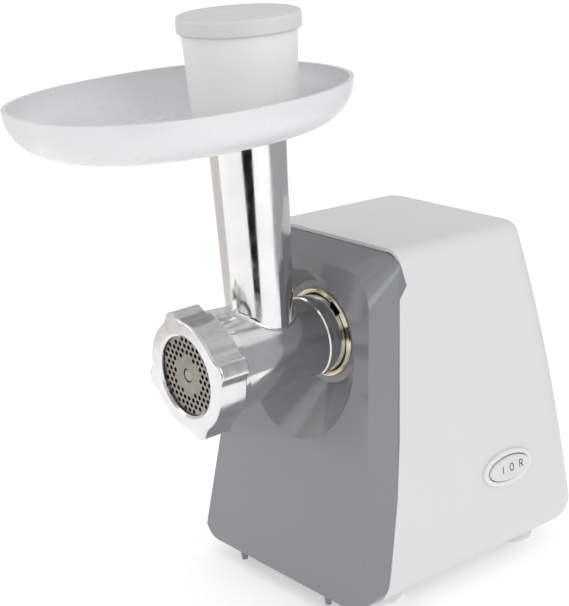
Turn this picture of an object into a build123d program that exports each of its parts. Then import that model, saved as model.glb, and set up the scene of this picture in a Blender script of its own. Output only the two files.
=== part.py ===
"""Electric meat grinder for the kitchen worktop, as an assembly of separate pieces.

Millimetres. +Z is up, -Y is the front where the mince comes out, +X is the switch side.
The origin is on the worktop, below the middle of the overall depth.
"""

import os
from math import acos, asin, atan, cos, degrees, hypot, pi, radians, sin, sqrt, tan

from build123d import *

os.makedirs("parts", exist_ok=True)

# ---- Driving dimensions: overall layout ----
axis_z = 158.0  # height of the grinding axis
tray_length = 196.8
tray_width = 158.0
tray_ahead = 42.1  # tray centre ahead of the feed tube
tube_ahead = 28.8  # feed tube axis ahead of the fascia plane
body_depth = 155.3  # fascia plane, at the grinding axis, to the foot of the rear wall
rim_z = 319.8  # top of the tray's rim

# ---- Motor housing and fascia ----
bottom_z = 11.0
body_top_z = 217.4  # top of the housing at its front edge
top_fall = 0.0432  # how much the top falls to the rear, per millimetre
foot_half_width = 84.2  # half width of the body at bottom_z
head_half_width = 58.8  # half width of the body at body_top_z
rear_lean = 22.7  # how far the rear wall leans in over the body's height
rear_curve = 2.05  # power that bends the rear wall: upright at the foot, leaning at the top
body_corner = 15.0
bottom_round = 17.0
top_round = 9.0
housing_wall = 2.5
fascia_lean = 0.184  # rearward run of the fascia per millimetre of height
fascia_top_z = 206.5
flank_depth = 17.0
flank_flare = 4.6
fascia_top_corner = 25.0
fascia_low_corner = 24.0
seam_corner = 4.0
seam_gap = 0.15
nose_knee = 30.0
nose_reach = 80.0
# Seam between fascia and housing, as (distance behind fascia_y, height).
seam = [(27.8, 225.0), (27.8, 217.4), (32.0, 196.0), (25.4, 189.3), (11.9, 109.4)]
seam += [(4.5, 75.2), (-5.2, 41.5), (-9.7, 26.4), (-14.5, 11.0), (-16.5, 5.0)]

dish_radius = 32.0  # dish floor
dish_depth = 17.0  # dish floor behind fascia_y
stub_x = 41.5
stub_back = 23.9  # stubs under the fascia, ahead of fascia_y
stub_low = 5.0

# ---- Grinding head ----
plate_radius = 27.0
plate_thickness = 7.0
plate_face_ahead = 82.7
plate_hub = 10.2
plate_hole = 1.35
plate_pitch = 4.1
nut_lip = 2.5
nut_opening = 23.65
nut_radius = 33.2
nut_lobe_radius = 37.4
nut_length = 19.5
nut_lobes = 4
nut_lobe_turn = 16.0  # degrees from +X to the first lobe
thread_radius = 31.0
thread_length = 14.5
thread_pitch = 3.0
thread_depth = 0.9
thread_clearance = 0.2
bore_radius = 20.8
spigot_radius = 24.0
spigot_wall = 3.2
spigot_length = 38.0  # behind fascia_y
collar_radius = 24.9
head_wall = 8.0
tube_base_radius = 20.0
tube_top_radius = 23.0
tube_wall = 2.6
tube_top_z = 296.0
rib_width = 11.0
rib_height = 2.6
blade_thickness = 5.0
blade_radius = plate_radius - 2.6
blade_square = 9.0
auger_clearance = 0.45
auger_pitch = 20.0
auger_core = 9.5
flight_thickness = 3.4
pin_radius = 4.0
journal_radius = 9.0
drive_flats = 12.0
running_clearance = 0.06
loose_clearance = 0.3
lug_radius = 26.2
lug_width = 8.0
lug_length = 5.0
twist_angle = 50.0

# ---- Barrel socket ----
socket_outer = 29.5
socket_neck = 27.3
socket_flange_radius = 39.0
socket_flange = 3.5
gearbox_front = 42.0  # behind fascia_y
gearbox_wall = 3.0
gear_space = 28.0

# ---- Tray, pusher and cap ----
tray_depth = 25.0
tray_side = 24.0
tray_wall = 2.4
sleeve_length = 12.0
pusher_top_z = 347.0
pusher_radius = 32.4
pusher_foot_radius = 30.2
pusher_wall = 2.2
stem_radius = 17.0
stem_length = 74.0
cap_radius = 35.0
cap_top_z = 356.7
cap_skirt = 10.0

# ---- Gear train ----
pressure_angle = 25.0
backlash = 0.16
motor_module, motor_teeth, first_teeth = 0.8, 12, 72
first_module, first_pinion_teeth, second_teeth = 1.25, 12, 54
second_module, second_pinion_teeth, output_teeth = 1.5, 12, 56
second_idler_x = -20.0
first_idler_x = 14.0
motor_x = 0.0
axle_radius = 4.0
shaft_radius = 8.0
rotor_radius = 4.0
gear_side_gap = 1.5

# ---- Motor ----
armature_radius = 19.7
air_gap = 0.5
stack_half = 33.0
stack_length = 18.0
stack_front = 93.0  # behind fascia_y
coil_overhang = 7.0
coil_radius = 26.6
fan_radius = 28.0
fan_blades = 9
commutator_radius = 10.0
commutator_length = 9.0
bearing_radius = 9.5
bearing_width = 6.0
motor_end = 136.0  # rear face of the motor bracket, behind fascia_y
motor_screw_offset = 27.0

# ---- Base, feet, switch and cord inlet ----
base_half_width = 56.0
base_front = -8.0
base_rear = body_depth - bottom_round - 6.0
base_thickness = 2.0
foot_radius = 12.0
foot_x = 51.4
foot_front = 10.5
foot_rear = body_depth - 29.3
switch_y = 94.5
switch_z = 66.6
bezel_half_length = 21.0
bezel_half_height = 11.0
bezel_proud = 1.8
rocker_half_length = 17.0
rocker_half_height = 7.4
rocker_proud = 3.2
rocker_gap = 0.6
rocker_sink = 5.0
inlet_x = -38.0
inlet_z = 44.0
inlet_radius = 6.5
inlet_bore = 3.6
inlet_proud = 2.6
screw_radius = 1.6
boss_radius = 4.5
button_radius = 6.0
button_travel = 3.0
button_turn = 142.0
button_reach = 55.5
lock_pin_radius = 2.5



def rear_wall(z):
    """Distance from fascia_y back to the rear wall's outer face at a height."""
    share = max(z - bottom_z, 0) / (body_top_z - bottom_z)
    return body_depth - rear_lean * share**rear_curve


# Where the fascia plane crosses the grinding axis: it puts the origin at mid depth.
fascia_y = (tray_length / 2 + tray_ahead + tube_ahead - rear_wall(inlet_z) - inlet_proud) / 2
plate_y = fascia_y - plate_face_ahead
tube_y = fascia_y - tube_ahead
tray_y = tube_y - tray_ahead
gear_y = fascia_y + gearbox_front + gearbox_wall  # front of the gear space
cover_y = gear_y + gear_space
stack_y = fascia_y + stack_front


# ---- Shared shapes ----
def front(y):
    """Sketch plane at y that faces the front: u is +X and v is +Z."""
    return Plane(origin=(0, y, 0), x_dir=(1, 0, 0), z_dir=(0, -1, 0))


def bar(rear, fore, radius, centre=(0, axis_z), mode=Mode.ADD):
    """Round bar along Y from fore to rear in the open part."""
    with BuildSketch(front(rear)) as disc:
        with Locations(centre):
            Circle(radius)
    extrude(disc.sketch, amount=rear - fore, mode=mode)


def post(base, top, radius, centre, mode=Mode.ADD):
    """Round post along Z in the open part."""
    with BuildSketch(Plane.XY.offset(base)) as disc:
        with Locations(centre):
            Circle(radius)
    extrude(disc.sketch, amount=top - base, mode=mode)


def block(low, high, mode=Mode.ADD):
    """Block between two corners in the open part."""
    middle = tuple((a + b) / 2 for a, b in zip(low, high))
    size = [b - a for a, b in zip(low, high)]
    with Locations(middle):
        Box(*size, mode=mode)


def turned(outline, centre=(0, axis_z), mode=Mode.ADD):
    """Revolve an outline of (y, radius) points about the Y axis through centre."""
    x, z = centre
    with BuildSketch(Plane.YZ.offset(x)) as half:
        with BuildLine():
            Polyline(*[(y, z + radius) for y, radius in outline], close=True)
        make_face()
    revolve(half.sketch, axis=Axis((x, 0, z), (0, 1, 0)), mode=mode)


def spun(outline, centre, mode=Mode.ADD):
    """Revolve an outline of (radius, z) points about the vertical through centre."""
    x, y = centre
    with BuildSketch(Plane.XZ.offset(-y)) as half:
        with BuildLine():
            Polyline(*[(x + radius, z) for radius, z in outline], close=True)
        make_face()
    revolve(half.sketch, axis=Axis((x, y, 0), (0, 0, 1)), mode=mode)


def screw(head_y, tip_y, centre, radius=screw_radius):
    """Screw along Y with its tip at tip_y and a pan head on the far side of head_y."""
    bar(max(head_y, tip_y), min(head_y, tip_y), radius, centre)
    head_top = head_y + (1.5 * radius if head_y > tip_y else -1.5 * radius)
    bar(max(head_y, head_top), min(head_y, head_top), 2 * radius, centre)


def around(centre, radius, angle):
    """Point at an angle, in degrees from +X towards +Z, on a circle."""
    return (centre[0] + radius * cos(radians(angle)), centre[1] + radius * sin(radians(angle)))


def bearing_angle(start, end):
    """Direction from one centre to another, in degrees from +X towards +Z."""
    x, z = end[0] - start[0], end[1] - start[1]
    turn = degrees(acos(x / hypot(x, z)))
    return turn if z >= 0 else -turn


def save(piece, name):
    """Label a finished piece and write it."""
    piece.part.label = name
    export_step(piece.part, f"parts/{name}.step")


# ---- Body outline, shared by the housing and the fascia ----
def body_form(inset):
    """The body's closed outer shape, drawn in by inset on every side."""
    top = body_top_z + 10
    side_slope = (foot_half_width - head_half_width) / (body_top_z - bottom_z)
    fore = fascia_y - 60
    with BuildPart() as form:
        for share in (0, 0.33, 0.66, 1):
            z = bottom_z + inset + share * (top - bottom_z - inset)
            half = foot_half_width - side_slope * (z - bottom_z) - inset
            rear = fascia_y + rear_wall(z) - inset
            with BuildSketch(Plane.XY.offset(z)):
                with BuildLine():
                    Polyline((-half, fore), (half, fore), (half, rear), (-half, rear), close=True)
                make_face()
                fillet(vertices().group_by(Axis.Y)[-1], body_corner - inset)
        loft()
        with BuildSketch(Plane.YZ):
            front_z = body_top_z - inset + top_fall * 100
            rear_z = body_top_z - inset - top_fall * (body_depth + 20)
            with BuildLine():
                Polyline(
                    (fascia_y + 27.8 - 100, bottom_z - 1),
                    (fascia_y + 27.8 - 100, front_z),
                    (fascia_y + 27.8 + body_depth + 20, rear_z),
                    (fascia_y + 27.8 + body_depth + 20, bottom_z - 1),
                    close=True,
                )
            make_face()
        extrude(amount=2 * foot_half_width, both=True, mode=Mode.INTERSECT)
        upper = form.faces().sort_by(Axis.Z)[-1]
        upper_rear = upper.edges().filter_by(lambda e: (e @ 0.5).Y > fascia_y + 60)
        fillet(upper_rear, top_round - inset)
        lower = form.faces().sort_by(Axis.Z)[0]
        lower_edges = lower.edges().filter_by(lambda e: (e @ 0.5).Y > fascia_y - 59)
        fillet(lower_edges, bottom_round - inset)
    return form.part


def nose_plane(depth):
    """Plane parallel to the fascia's face, depth behind it."""
    cosine = 1 / sqrt(1 + fascia_lean**2)
    origin = (0, fascia_y + depth * cosine, axis_z - depth * cosine * fascia_lean)
    return Plane(origin=origin, x_dir=(1, 0, 0), z_dir=(0, -1, fascia_lean))


def nose_form(inset):
    """Block that narrows towards the fascia's face, drawn in by inset."""
    cosine = 1 / sqrt(1 + fascia_lean**2)
    side_slope = (foot_half_width - head_half_width) / (body_top_z - bottom_z)
    body_half = foot_half_width - side_slope * (axis_z - bottom_z)
    top_rise = (body_top_z - fascia_top_z) / 16.6
    with BuildPart() as form:
        for depth, top_corner, low_corner in (
            (inset, fascia_top_corner, fascia_low_corner),
            (nose_knee, seam_corner + inset, bottom_round),
            (nose_reach, seam_corner + inset, bottom_round),
        ):
            flare = flank_flare * (1 - depth / flank_depth)
            low = (bottom_z - 0.2 + inset - axis_z) / cosine - 0.02 * depth
            high = (fascia_top_z - axis_z) / cosine - inset + top_rise * depth
            low_half = body_half - side_slope * low * cosine - flare - inset
            high_half = body_half - side_slope * high * cosine - flare - inset
            with BuildSketch(nose_plane(depth)):
                with BuildLine():
                    Polyline(
                        (-low_half, low), (low_half, low), (high_half, high), (-high_half, high), close=True
                    )
                make_face()
                corners = vertices().group_by(Axis.Y)
                fillet(corners[-1], top_corner - inset)
                fillet(corners[0], low_corner - inset)
        loft(ruled=True)
    return form.part


def seam_block(reach, shift):
    """Everything on one side of the seam, out to reach, with the seam moved by shift."""
    with BuildPart() as side:
        with BuildSketch(Plane.YZ):
            with BuildLine():
                points = [(fascia_y + y + shift, z) for y, z in seam]
                points += [(fascia_y + reach, seam[-1][1]), (fascia_y + reach, seam[0][1])]
                Polyline(*points, close=True)
            make_face()
        extrude(amount=2 * foot_half_width, both=True)
    return side.part


outer_body = body_form(0)
inner_body = body_form(housing_wall)
front_block = outer_body & nose_form(0)
dish_y = fascia_y + dish_depth

# ---- Gear centres, in (x, z) ----
output_centre = (0, axis_z)
output_span = second_module * (second_pinion_teeth + output_teeth) / 2
second_span = first_module * (first_pinion_teeth + second_teeth) / 2
motor_span = motor_module * (motor_teeth + first_teeth) / 2
second_centre = (second_idler_x, axis_z - sqrt(output_span**2 - second_idler_x**2))
first_drop = sqrt(second_span**2 - (first_idler_x - second_idler_x) ** 2)
first_centre = (first_idler_x, second_centre[1] - first_drop)
motor_drop = sqrt(motor_span**2 - (motor_x - first_idler_x) ** 2)
motor_centre = (motor_x, first_centre[1] - motor_drop)

gear_room = 2.0
casing = [
    (output_centre, second_module * (output_teeth / 2 + 1) + gear_room),
    (second_centre, first_module * (second_teeth / 2 + 1) + gear_room),
    (first_centre, motor_module * (first_teeth / 2 + 1) + gear_room),
]
casing_reach = [radius + gearbox_wall for _, radius in casing]
cover_points = [
    around(output_centre, casing_reach[0] + 2, 35),
    around(output_centre, casing_reach[0] + 2, 145),
    around(second_centre, casing_reach[1] + 2, 180),
    around(second_centre, casing_reach[1] + 2, 235),
    around(first_centre, casing_reach[2] + 2, 0),
    around(first_centre, casing_reach[2] + 2, 300),
]
# Ears that carry the gearbox on the fascia: (casing circle, ear centre).
ears = [
    (output_centre, (56.0, 150.0)),
    (output_centre, (-56.0, 150.0)),
    (first_centre, (46.0, 60.0)),
    (second_centre, (-52.0, 80.0)),
]
button_centre = around(output_centre, button_reach, button_turn)
lower_lugs = [(62.0, 40.0), (-62.0, 40.0)]
base_corners = [(x, fascia_y + y) for x in (-48.0, 48.0) for y in (28.0, 108.0)]
motor_corners = [
    (motor_centre[0] + x, motor_centre[1] + z)
    for x in (-motor_screw_offset, motor_screw_offset)
    for z in (-motor_screw_offset, motor_screw_offset)
]
front_feet = [(x, fascia_y + foot_front) for x in (-foot_x, foot_x)]
feet_at = front_feet + [(x, fascia_y + foot_rear) for x in (-foot_x, foot_x)]

# ---- Fascia ----
fascia_shell = front_block - (inner_body & nose_form(housing_wall))
fascia_shell -= seam_block(200, -seam_gap)
dish_slack = housing_wall * tan(radians(22.5))
with BuildPart(mode=Mode.PRIVATE) as dish_skin:
    turned(
        [
            (dish_y, socket_neck + loose_clearance),
            (dish_y, dish_radius),
            (dish_y - 60, dish_radius + 60),
            (dish_y - 60, dish_radius + 60 + housing_wall * sqrt(2)),
            (dish_y + housing_wall, dish_radius + dish_slack),
            (dish_y + housing_wall, socket_neck + loose_clearance),
        ]
    )
with BuildPart(mode=Mode.PRIVATE) as dish_hollow:
    turned([(dish_y, 0), (dish_y, dish_radius), (dish_y - 60, dish_radius + 60), (dish_y - 60, 0)])
    bar(dish_y + 10, dish_y - 1, socket_neck + loose_clearance)
with BuildPart() as front_fascia:
    add(fascia_shell)
    for _, ear in ears:
        bar(fascia_y + gearbox_front, fascia_y - 25, boss_radius, ear)
    for lug in lower_lugs:
        bar(fascia_y - 3.1, fascia_y - 25, boss_radius, lug)
    add(front_block, mode=Mode.INTERSECT)
    add(dish_skin.part & front_block)
    add(dish_hollow.part, mode=Mode.SUBTRACT)
    for _, ear in ears:
        bar(fascia_y + gearbox_front, fascia_y + 5, screw_radius, ear, Mode.SUBTRACT)
    for lug in lower_lugs:
        bar(fascia_y - 3, fascia_y - 15, screw_radius, lug, Mode.SUBTRACT)
    bar(dish_y, fascia_y - 20, button_radius + loose_clearance, button_centre, Mode.SUBTRACT)
    for x in (-stub_x, stub_x):
        stub = [(0, stub_low), (2.0, stub_low), (2.6, bottom_z + 1.5), (0, bottom_z + 1.5)]
        spun(stub, (x, fascia_y - stub_back))
save(front_fascia, "front_fascia")

# ---- Housing ----
side_slope = (foot_half_width - head_half_width) / (body_top_z - bottom_z)
side_lean = degrees(atan(side_slope))
switch_x = foot_half_width - side_slope * (switch_z - bottom_z)
rear_wall_y = fascia_y + rear_wall(inlet_z)


def switch_plane(proud):
    """Plane parallel to the switch side's wall: u is +Y and v is up the wall."""
    lean = radians(side_lean)
    centre = (switch_x + proud * cos(lean), fascia_y + switch_y, switch_z + proud * sin(lean))
    return Plane(origin=centre, x_dir=(0, 1, 0), z_dir=(cos(lean), 0, sin(lean)))


base_low = fascia_y + base_front
base_high = fascia_y + base_rear
boss_top = 40.0
boss_foot = bottom_z + housing_wall + base_thickness + 0.2
lug_y = fascia_y - 3.0
lug_inner = 56.0
lug_half = 5.0
lug_thickness = 3.0
with BuildPart() as main_housing:
    add(outer_body & seam_block(200, 0))
    add(inner_body, mode=Mode.SUBTRACT)
    for x, z in lower_lugs:
        reach = foot_half_width - side_slope * (z - bottom_z) - 1.0
        side = 1 if x > 0 else -1
        near, far = sorted((side * lug_inner, side * reach))
        block((near, lug_y, z - lug_half), (far, lug_y + lug_thickness, z + lug_half))
        bar(lug_y + 4, lug_y - 1, screw_radius + 0.3, (x, z), Mode.SUBTRACT)
    for x, y in base_corners:
        reach = foot_half_width - side_slope * (boss_top - bottom_z) - 1.0
        side = 1 if x > 0 else -1
        block((min(x, side * reach), y - 1.5, 26), (max(x, side * reach), y + 1.5, boss_top))
        post(boss_foot, boss_top, boss_radius, (x, y))
        post(boss_foot - 1, boss_top - 4, screw_radius, (x, y), Mode.SUBTRACT)
    base_corner = (base_half_width, base_high, boss_foot)
    block((-base_half_width, base_low, bottom_z - 5), base_corner, Mode.SUBTRACT)
    with BuildSketch(switch_plane(10)) as hole:
        Ellipse(bezel_half_length - 1.8, bezel_half_height - 1.8)
    extrude(hole.sketch, amount=-20, mode=Mode.SUBTRACT)
    bar(rear_wall_y + 20, rear_wall_y - 20, inlet_radius, (inlet_x, inlet_z), Mode.SUBTRACT)
save(main_housing, "main_housing")

# ---- Base plate, feet and base screws ----
plate_top = bottom_z + housing_wall + base_thickness
slack = loose_clearance
with BuildPart() as base_plate:
    block(
        (-base_half_width + slack, base_low + slack, bottom_z),
        (base_half_width - slack, base_high - slack, plate_top),
    )
    edge = 5.0
    block(
        (-base_half_width - edge, base_low - edge, bottom_z + housing_wall),
        (base_half_width + edge, base_high + 1.5, plate_top),
    )
    fillet(edges().filter_by(Axis.Z), 3)
    with BuildSketch(Plane.XY.offset(bottom_z - 1)):
        with Locations((0, fascia_y + 58)):
            with GridLocations(0, 9, 1, 8):
                SlotOverall(46, 3.6)
    extrude(amount=20, mode=Mode.SUBTRACT)
    for corner in base_corners:
        post(bottom_z - 1, plate_top + 1, screw_radius + 0.3, corner, Mode.SUBTRACT)
        post(bottom_z - 1, bottom_z + 2, 2 * screw_radius + 0.3, corner, Mode.SUBTRACT)
    for foot in feet_at:
        post(bottom_z - 1, plate_top + 1, 3.5, foot, Mode.SUBTRACT)
save(base_plate, "base_plate")

foot_outline = [
    (0, 1.2),
    (foot_radius - 3.5, 1.2),
    (foot_radius - 2.0, 0),
    (foot_radius - 0.6, 0),
    (foot_radius, 2.2),
    (foot_radius - 1.4, 4.4),
    (foot_radius - 3.6, 7.4),
    (foot_radius - 3.6, bottom_z),
    (3.4, bottom_z),
    (3.4, plate_top),
    (4.6, plate_top),
    (3.0, plate_top + 3),
    (0, plate_top + 3),
]
with BuildPart() as suction_feet:
    for foot in feet_at:
        spun(foot_outline, foot)
save(suction_feet, "suction_feet")

with BuildPart() as base_screws:
    for corner in base_corners:
        post(bottom_z + 0.4, bottom_z + 2, 2 * screw_radius, corner)
        post(bottom_z + 1, boss_top - 6, screw_radius, corner)
save(base_screws, "base_screws")

with BuildPart() as fascia_screws:
    for lug in lower_lugs:
        screw(lug_y + 3, fascia_y - 14, lug)
save(fascia_screws, "fascia_screws")

# ---- Switch and cord inlet ----
with BuildPart() as switch_bezel:
    with BuildSketch(switch_plane(0)):
        Ellipse(bezel_half_length, bezel_half_height)
    extrude(amount=bezel_proud)
    fillet(faces().sort_by(Axis.X)[-1].edges(), 1.0)
    with BuildSketch(switch_plane(0)):
        Ellipse(bezel_half_length - 2.0, bezel_half_height - 2.0)
    extrude(amount=-housing_wall - 2)
    with BuildSketch(switch_plane(5)):
        Ellipse(rocker_half_length + rocker_gap, rocker_half_height + rocker_gap)
    extrude(amount=-20, mode=Mode.SUBTRACT)
save(switch_bezel, "switch_bezel")

with BuildPart() as switch_rocker:
    with BuildSketch(switch_plane(0)):
        Ellipse(rocker_half_length, rocker_half_height)
    with BuildSketch(switch_plane(-rocker_sink)):
        Ellipse(rocker_half_length - 1.4, rocker_half_height - 0.6)
    loft()
    with BuildSketch(switch_plane(0)):
        Ellipse(rocker_half_length, rocker_half_height)
    extrude(amount=rocker_proud)
    fillet(faces().sort_by(Axis.X)[-1].edges(), 0.9)
save(switch_rocker, "switch_rocker")

switch_gap = 3.0
with BuildPart() as switch_body:
    with BuildSketch(switch_plane(-rocker_sink - switch_gap)):
        Rectangle(30, 13)
    extrude(amount=-18)
    with BuildSketch(switch_plane(-rocker_sink - switch_gap - 18)):
        with GridLocations(9, 0, 3, 1):
            Rectangle(0.8, 6)
    extrude(amount=-8)
save(switch_body, "switch_body")

with BuildPart() as cord_inlet:
    centre = (inlet_x, inlet_z)
    turned(
        [
            (rear_wall_y + inlet_proud, inlet_bore),
            (rear_wall_y + inlet_proud, inlet_radius - 0.8),
            (rear_wall_y + 2.0, inlet_radius + 1.8),
            (rear_wall_y + 0.8, inlet_radius + 1.8),
            (rear_wall_y + 0.8, inlet_radius - 0.1),
            (rear_wall_y - 3.4, inlet_radius - 0.1),
            (rear_wall_y - 3.4, inlet_radius + 1.4),
            (rear_wall_y - 6.0, inlet_radius + 1.4),
            (rear_wall_y - 6.0, inlet_bore),
        ],
        centre,
    )
save(cord_inlet, "cord_inlet")

# ---- Barrel socket ----
socket_bore = spigot_radius + loose_clearance
lug_y_rear = fascia_y + spigot_length - 4.0
groove_rear = lug_y_rear + loose_clearance
groove_front = lug_y_rear - lug_length - loose_clearance
groove_radius = lug_radius + loose_clearance
socket_rear = fascia_y + gearbox_front
pin_line_y = fascia_y + 24.0
socket_screw_points = [around(output_centre, 34.5, turn) for turn in (45, 165, 225, 315)]
pin_plane = Plane(
    origin=(0, pin_line_y, axis_z),
    x_dir=(0, 1, 0),
    z_dir=(cos(radians(button_turn)), 0, sin(radians(button_turn))),
)
shoulder_y = dish_y + housing_wall + loose_clearance
mouth_y = dish_y - 0.4


def cut_entries(fore):
    """Cut the bayonet's two entry slots in the open part, from fore back to the groove."""
    turn = Plane(origin=(0, fore, axis_z), x_dir=(1, 0, 0), z_dir=(0, 1, 0))
    for start in (0, 180):
        with BuildSketch(turn) as entry:
            with PolarLocations((socket_bore + groove_radius) / 2 - 1, 1, start - twist_angle):
                Rectangle(groove_radius - socket_bore + 2, lug_width + 1)
        extrude(entry.sketch, amount=groove_front + 1 - fore, mode=Mode.SUBTRACT)


with BuildPart() as barrel_socket:
    turned(
        [
            (mouth_y, socket_bore),
            (mouth_y, socket_neck),
            (shoulder_y, socket_neck),
            (shoulder_y, socket_outer),
            (socket_rear - socket_flange, socket_outer),
            (socket_rear - socket_flange, socket_flange_radius),
            (socket_rear, socket_flange_radius),
            (socket_rear, socket_bore),
            (groove_rear, socket_bore),
            (groove_rear, groove_radius),
            (groove_front, groove_radius),
            (groove_front, socket_bore),
        ]
    )
    cut_entries(mouth_y - 1)
    with BuildSketch(pin_plane) as pin_hole:
        Circle(lock_pin_radius + loose_clearance)
    extrude(pin_hole.sketch, amount=socket_outer + 2, mode=Mode.SUBTRACT)
    for point in socket_screw_points:
        bar(socket_rear + 1, socket_rear - 9, screw_radius + 0.3, point, Mode.SUBTRACT)
save(barrel_socket, "barrel_socket")

ring_inner = socket_bore + 0.2
ring_crests = (ring_inner + 0.6, ring_inner + 2.1)
ring_proud = 2.0
with BuildPart() as socket_trim_ring:
    turned(
        [
            (mouth_y, ring_inner),
            (dish_y - ring_proud + 0.6, ring_inner + 0.1),
            (dish_y - ring_proud, ring_crests[0]),
            (dish_y - ring_proud + 0.7, ring_crests[0] + 0.6),
            (dish_y - ring_proud + 0.6, ring_crests[1] - 0.5),
            (dish_y - ring_proud, ring_crests[1]),
            (dish_y - ring_proud, ring_crests[1] + 0.6),
            (dish_y - ring_proud + 0.8, ring_crests[1] + 1.3),
            (dish_y, socket_neck + loose_clearance + 0.6),
            (dish_y, socket_neck + loose_clearance),
            (mouth_y, socket_neck),
        ]
    )
    cut_entries(dish_y - ring_proud - 1)
save(socket_trim_ring, "socket_trim_ring")

# ---- Gearbox ----
bush_radius = 11.0
bush_bore = shaft_radius + running_clearance
casing_front = fascia_y + gearbox_front


def casing_sketch(plane, grow):
    """Outline of the gearbox: a circle round each large gear, and the motor boss."""
    with BuildSketch(plane) as outline:
        for centre, radius in casing:
            with Locations(centre):
                Circle(radius + grow)
        with Locations(motor_centre):
            Circle(bearing_radius + 3 + grow - gearbox_wall)
    return outline.sketch


def ear_sketch(plane):
    """The gearbox's four ears, each a bar from a casing circle to a screw."""
    with BuildSketch(plane) as outline:
        for centre, ear in ears:
            with BuildLine():
                Line(centre, ear)
            trace(line_width=2 * boss_radius)
            with Locations(ear):
                Circle(boss_radius)
    return outline.sketch


with BuildPart() as gearbox_housing:
    extrude(casing_sketch(front(cover_y), gearbox_wall), amount=cover_y - casing_front)
    for point in cover_points:
        bar(cover_y, casing_front, boss_radius, point)
    extrude(casing_sketch(front(cover_y), 0), amount=cover_y - gear_y, mode=Mode.SUBTRACT)
    extrude(ear_sketch(front(casing_front + gearbox_wall)), amount=gearbox_wall)
    bar(gear_y + 1.0, casing_front - 1, bush_radius, mode=Mode.SUBTRACT)
    for centre in (first_centre, second_centre):
        bar(gear_y + 1, casing_front - 1, axle_radius, centre, Mode.SUBTRACT)
    for point in cover_points:
        bar(cover_y + 1, casing_front + 4, screw_radius, point, Mode.SUBTRACT)
    for _, ear in ears:
        bar(gear_y + 1, casing_front - 1, screw_radius + 0.3, ear, Mode.SUBTRACT)
    for point in socket_screw_points:
        bar(gear_y + 1, casing_front - 1, screw_radius, point, Mode.SUBTRACT)
save(gearbox_housing, "gearbox_housing")

cover_thickness = 4.0
cover_rear = cover_y + cover_thickness
bearing_front = cover_y + 1.0


def arm_sketch(plane):
    """Bars from the motor's axis to its four posts."""
    with BuildSketch(plane) as outline:
        for corner in motor_corners:
            with BuildLine():
                Line(motor_centre, corner)
            trace(line_width=2 * boss_radius)
            with Locations(corner):
                Circle(boss_radius)
    return outline.sketch


with BuildPart() as gearbox_cover:
    extrude(casing_sketch(front(cover_rear), gearbox_wall), amount=cover_thickness)
    extrude(arm_sketch(front(cover_rear)), amount=cover_thickness)
    for point in cover_points:
        bar(cover_rear, cover_y, boss_radius, point)
    for corner in motor_corners:
        bar(stack_y, cover_y + 1, boss_radius, corner)
    bar(bearing_front + bearing_width + 1, cover_y, bearing_radius + 3, motor_centre)
    bar(cover_rear + 4, cover_y, bush_radius + 3)
    bar(bearing_front + bearing_width + 2, bearing_front, bearing_radius, motor_centre, Mode.SUBTRACT)
    bar(bearing_front + 1, cover_y - 1, rotor_radius + 1.5, motor_centre, Mode.SUBTRACT)
    bar(cover_rear + 5, cover_y - 1, bush_radius, mode=Mode.SUBTRACT)
    for centre in (first_centre, second_centre):
        bar(cover_rear - 1, cover_y - 1, axle_radius, centre, Mode.SUBTRACT)
    for point in cover_points:
        bar(cover_rear + 1, cover_y - 1, screw_radius + 0.3, point, Mode.SUBTRACT)
    for corner in motor_corners:
        bar(stack_y + 1, cover_y + 6, screw_radius, corner, Mode.SUBTRACT)
save(gearbox_cover, "gearbox_cover")

with BuildPart() as gearbox_screws:
    for point in cover_points:
        screw(cover_rear, casing_front + 5, point)
save(gearbox_screws, "gearbox_screws")

with BuildPart() as mounting_screws:
    for _, ear in ears:
        screw(gear_y, fascia_y + 20, ear)
save(mounting_screws, "mounting_screws")

with BuildPart() as socket_screws:
    for point in socket_screw_points:
        screw(socket_rear - socket_flange, gear_y - 0.2, point)
save(socket_screws, "socket_screws")

bush_front = casing_front - 1.5
with BuildPart() as output_bushes:
    for rear, fore in ((gear_y + 0.5, bush_front), (cover_rear + 4, cover_y)):
        bar(rear, fore, bush_radius)
        bar(rear + 1, fore - 1, bush_bore, mode=Mode.SUBTRACT)
save(output_bushes, "output_bushes")

with BuildPart() as gear_axles:
    for centre in (first_centre, second_centre):
        bar(cover_rear - 1, casing_front, axle_radius, centre)
save(gear_axles, "gear_axles")


# ---- Gears ----
def tooth_half_angle(module, teeth, radius):
    """Half the angle that a tooth fills at a radius, in radians."""
    pitch_radius = module * teeth / 2
    base_radius = pitch_radius * cos(radians(pressure_angle))
    at_pitch = (pi * module / 2 - backlash) / (2 * pitch_radius)
    roll = acos(base_radius / max(radius, base_radius))
    return at_pitch + tan(radians(pressure_angle)) - radians(pressure_angle) - (tan(roll) - roll)


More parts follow.
